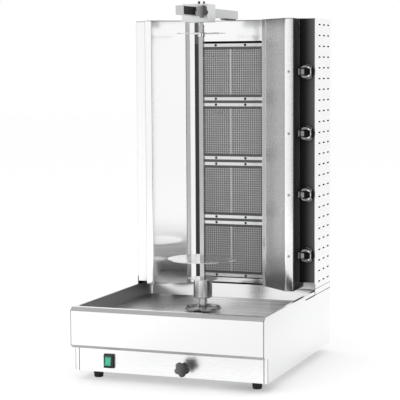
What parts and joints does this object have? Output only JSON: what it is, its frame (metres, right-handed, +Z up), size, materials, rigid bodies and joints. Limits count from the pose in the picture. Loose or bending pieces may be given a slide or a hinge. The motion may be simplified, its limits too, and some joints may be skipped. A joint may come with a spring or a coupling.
{
  "type": "gas doner kebab grill",
  "caption": "Countertop vertical rotisserie: driven sliding spit over a grease basin, ceramic gas burners between folded reflector wings, knob column and power switch.",
  "frame": {"origin": "on the surface it stands on, under the middle of the whole object", "axes": "+X to the right seen from the front, +Y to the rear, +Z up along the spit"},
  "size_m": [0.542, 0.659, 1.012],
  "materials": {
    "stainless_sheet": "brushed stainless sheet",
    "bright_reflector": "bright-annealed stainless, near mirror",
    "polished_bar": "turned and polished stainless",
    "galvanised": "galvanised sheet",
    "black_panel": "gloss black enamel",
    "black_plastic": "moulded, satin",
    "gloss_plastic": "moulded, gloss",
    "green_lens": "translucent moulded",
    "rubber": "matt moulded",
    "ceramic": "perforated, unglazed",
    "screen_wire": "woven heat-proof wire",
    "brass": "machined",
    "gearbox": "painted casting",
    "bush_bronze": "sintered bronze",
    "aluminium": "satin"
  },
  "bodies": {
    "housing": {"base_side_left": "stainless_sheet", "base_side_right": "stainless_sheet", "front_fascia": "stainless_sheet", "control_panel": "stainless_sheet", "base_back": "stainless_sheet", "bottom_plate": "galvanised", "basin": "bright_reflector", "rubber_feet": "rubber", "switch_housing": "black_plastic", "cable_gland": "black_plastic", "gas_inlet": "brass", "guide_rods": "polished_bar", "rod_brackets": "galvanised", "tower_skin_left": "stainless_sheet", "tower_skin_right": "stainless_sheet", "tower_back": "stainless_sheet", "tower_top": "stainless_sheet", "column_left": "stainless_sheet", "gas_panel": "black_panel", "column_skirt": "bright_reflector", "wing_left": "bright_reflector", "wing_right": "bright_reflector", "recess_panels": "bright_reflector", "panel_screws": "polished_bar", "ceramic_tiles": "ceramic", "burner_screens": "screen_wire", "gas_manifold": "galvanised", "gas_valves": "brass", "supply_tubes": "galvanised", "top_arm": "stainless_sheet", "slide_strip": "black_plastic", "arm_spacer": "black_plastic", "burner_housing_1": "bright_reflector", "burner_housing_2": "bright_reflector", "burner_housing_3": "bright_reflector", "burner_housing_4": "bright_reflector"},
    "carriage": {"carriage_plate": "galvanised", "carriage_bushings": "bush_bronze", "gear_motor": "gearbox"},
    "adjuster": {"adjust_knob": "black_plastic"},
    "spit": {"drive_shaft": "polished_bar", "drip_disc": "polished_bar", "spit_hub": "polished_bar", "spit_bar": "polished_bar"},
    "meat_plate": {"meat_plate": "polished_bar"},
    "top_disc": {"top_disc": "polished_bar"},
    "holder": {"holder_block": "aluminium", "holder_bush": "bush_bronze", "holder_cap": "polished_bar"},
    "holder_lock": {"holder_knob": "black_plastic"},
    "rocker": {"switch_rocker": "green_lens"},
    "valve_1": {"valve_plunger_1": "brass"},
    "knob_1": {"gas_knob_1": "gloss_plastic"},
    "valve_2": {"valve_plunger_2": "brass"},
    "knob_2": {"gas_knob_2": "gloss_plastic"},
    "valve_3": {"valve_plunger_3": "brass"},
    "knob_3": {"gas_knob_3": "gloss_plastic"},
    "valve_4": {"valve_plunger_4": "brass"},
    "knob_4": {"gas_knob_4": "gloss_plastic"}
  },
  "joints": [
    {"name": "carriage_slide", "type": "slide", "parent": "housing", "child": "carriage", "axis": [0, 1, 0], "range_m": [-0.08, 0.018]},
    {"name": "holder_slide", "type": "slide", "parent": "housing", "child": "holder", "axis": [0, 1, 0], "range_m": [-0.08, 0.018]},
    {"name": "spit_turn", "type": "hinge", "parent": "carriage", "child": "spit", "pos_m": [0, -0.0335, 0.198], "axis": [0, 0, 1], "continuous": true},
    {"name": "adjust_turn", "type": "hinge", "parent": "carriage", "child": "adjuster", "pos_m": [0.048, -0.3075, 0.055], "axis": [0, -1, 0], "range_deg": [0, 360]},
    {"name": "holder_lock_turn", "type": "hinge", "parent": "holder", "child": "holder_lock", "pos_m": [0.0315, -0.0855, 0.982], "axis": [0, -1, 0], "range_deg": [0, 360]},
    {"name": "meat_plate_slide", "type": "slide", "parent": "spit", "child": "meat_plate", "axis": [0, 0, 1], "range_m": [-0.044, 0.15]},
    {"name": "top_disc_slide", "type": "slide", "parent": "spit", "child": "top_disc", "axis": [0, 0, 1], "range_m": [-0.44, 0.018]},
    {"name": "rocker_tilt", "type": "hinge", "parent": "housing", "child": "rocker", "pos_m": [-0.172, -0.29, 0.056], "axis": [1, 0, 0], "range_deg": [0, 14]},
    {"name": "valve_push_1", "type": "slide", "parent": "housing", "child": "valve_1", "axis": [0, 1, 0], "range_m": [0, 0.0035], "stiffness_N_per_m": 600, "springref_m": -0.006},
    {"name": "knob_turn_1", "type": "hinge", "parent": "valve_1", "child": "knob_1", "pos_m": [0.247, 0.142, 0.8195], "axis": [0, -1, 0], "range_deg": [0, 240]},
    {"name": "valve_push_2", "type": "slide", "parent": "housing", "child": "valve_2", "axis": [0, 1, 0], "range_m": [0, 0.0035], "stiffness_N_per_m": 600, "springref_m": -0.006},
    {"name": "knob_turn_2", "type": "hinge", "parent": "valve_2", "child": "knob_2", "pos_m": [0.247, 0.142, 0.6476], "axis": [0, -1, 0], "range_deg": [0, 240]},
    {"name": "valve_push_3", "type": "slide", "parent": "housing", "child": "valve_3", "axis": [0, 1, 0], "range_m": [0, 0.0035], "stiffness_N_per_m": 600, "springref_m": -0.006},
    {"name": "knob_turn_3", "type": "hinge", "parent": "valve_3", "child": "knob_3", "pos_m": [0.247, 0.142, 0.4757], "axis": [0, -1, 0], "range_deg": [0, 240]},
    {"name": "valve_push_4", "type": "slide", "parent": "housing", "child": "valve_4", "axis": [0, 1, 0], "range_m": [0, 0.0035], "stiffness_N_per_m": 600, "springref_m": -0.006},
    {"name": "knob_turn_4", "type": "hinge", "parent": "valve_4", "child": "knob_4", "pos_m": [0.247, 0.142, 0.3038], "axis": [0, -1, 0], "range_deg": [0, 240]}
  ],
  "couplings": [
    {"joint": "holder_slide", "follows": "carriage_slide", "ratio": 1}
  ]
}
